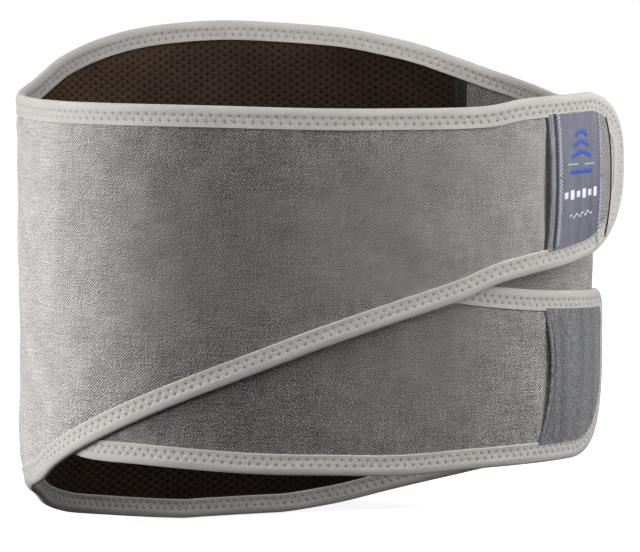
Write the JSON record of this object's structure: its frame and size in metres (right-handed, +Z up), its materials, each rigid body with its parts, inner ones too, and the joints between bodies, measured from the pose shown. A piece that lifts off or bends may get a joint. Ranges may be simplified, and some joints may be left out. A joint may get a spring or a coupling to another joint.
{
  "type": "lumbar support belt",
  "caption": "Elastic lumbar support belt closed in an oval: tall perforated back with stays, crossing front flaps over an under-wing, hand strap and finger pocket.",
  "frame": {"origin": "middle of the belt's footprint, at the height of the back's lowest edge", "axes": "+X to the wearer's left, where the front closes; -Y the front; +Z up"},
  "size_m": [0.2872, 0.2158, 0.26],
  "materials": {
    "outer_knit": "grey melange elastic knit, matte",
    "perforated_lining": "dark brown laminated lining with rows of small holes, matte",
    "inner_knit": "light grey loop knit, matte",
    "edge_binding": "warm light grey folded tape with zigzag stitching",
    "seam_cord": "soft corded seam",
    "stay_steel": "flat spring steel",
    "stay_tip_plastic": "dipped plastic end caps",
    "hook_fastener": "fine hook fastener",
    "label_satin": "blue-grey woven satin label",
    "pocket_elastic": "blue-grey melange elastic webbing"
  },
  "bodies": {
    "back": {"back_shell": "outer_knit", "back_lining": "perforated_lining", "side_panel_shell": "outer_knit", "side_panel_lining": "inner_knit", "lining_seam_tape": "seam_cord", "back_top_binding": "edge_binding", "back_bottom_binding": "edge_binding", "left_seam_cord": "seam_cord", "right_seam_cord": "seam_cord", "stay_pocket_1": "outer_knit", "stay_pocket_2": "outer_knit", "stay_pocket_3": "outer_knit", "stay_pocket_4": "outer_knit", "stay_1": "stay_steel", "stay_2": "stay_steel", "stay_3": "stay_steel", "stay_4": "stay_steel", "stay_tips": "stay_tip_plastic"},
    "lower_flap": {"yoke_shell": "outer_knit", "yoke_lining": "inner_knit", "yoke_top_binding": "edge_binding", "yoke_bottom_binding": "edge_binding", "fold_cord": "seam_cord", "lower_flap_shell": "outer_knit", "lower_flap_lining": "inner_knit", "lower_flap_binding": "edge_binding", "lower_flap_hook": "hook_fastener"},
    "upper_flap": {"upper_flap_shell": "outer_knit", "upper_flap_lining": "inner_knit", "upper_flap_binding": "edge_binding", "upper_flap_hook": "hook_fastener"},
    "wing": {"wing_shell": "outer_knit", "wing_lining": "inner_knit", "wing_binding": "edge_binding"},
    "hand_strap": {"hand_strap": "outer_knit", "woven_label": "label_satin"},
    "finger_pocket": {"finger_pocket": "pocket_elastic"}
  },
  "joints": [
    {"name": "front_open", "type": "hinge", "parent": "back", "child": "lower_flap", "pos_m": [-0.13325, 0.04779, 0.12], "axis": [0, 0, -1], "range_deg": [0, 95]},
    {"name": "upper_flap_open", "type": "hinge", "parent": "lower_flap", "child": "upper_flap", "pos_m": [-0.13841, -0.03626, 0.14], "axis": [0, 0, -1], "range_deg": [0, 75]},
    {"name": "wing_open", "type": "hinge", "parent": "back", "child": "wing", "pos_m": [0.14222, -0.00365, 0.13], "axis": [0, 0, 1], "range_deg": [0, 34]},
    {"name": "hand_strap_bow", "type": "slide", "parent": "upper_flap", "child": "hand_strap", "axis": [0.4798, -0.8774, 0], "range_m": [0, 0.018]},
    {"name": "finger_pocket_bow", "type": "slide", "parent": "lower_flap", "child": "finger_pocket", "axis": [0.5814, -0.8136, 0], "range_m": [0, 0.015]}
  ],
  "couplings": [
    {"joint": "wing_open", "follows": "front_open", "ratio": 0.35}
  ]
}
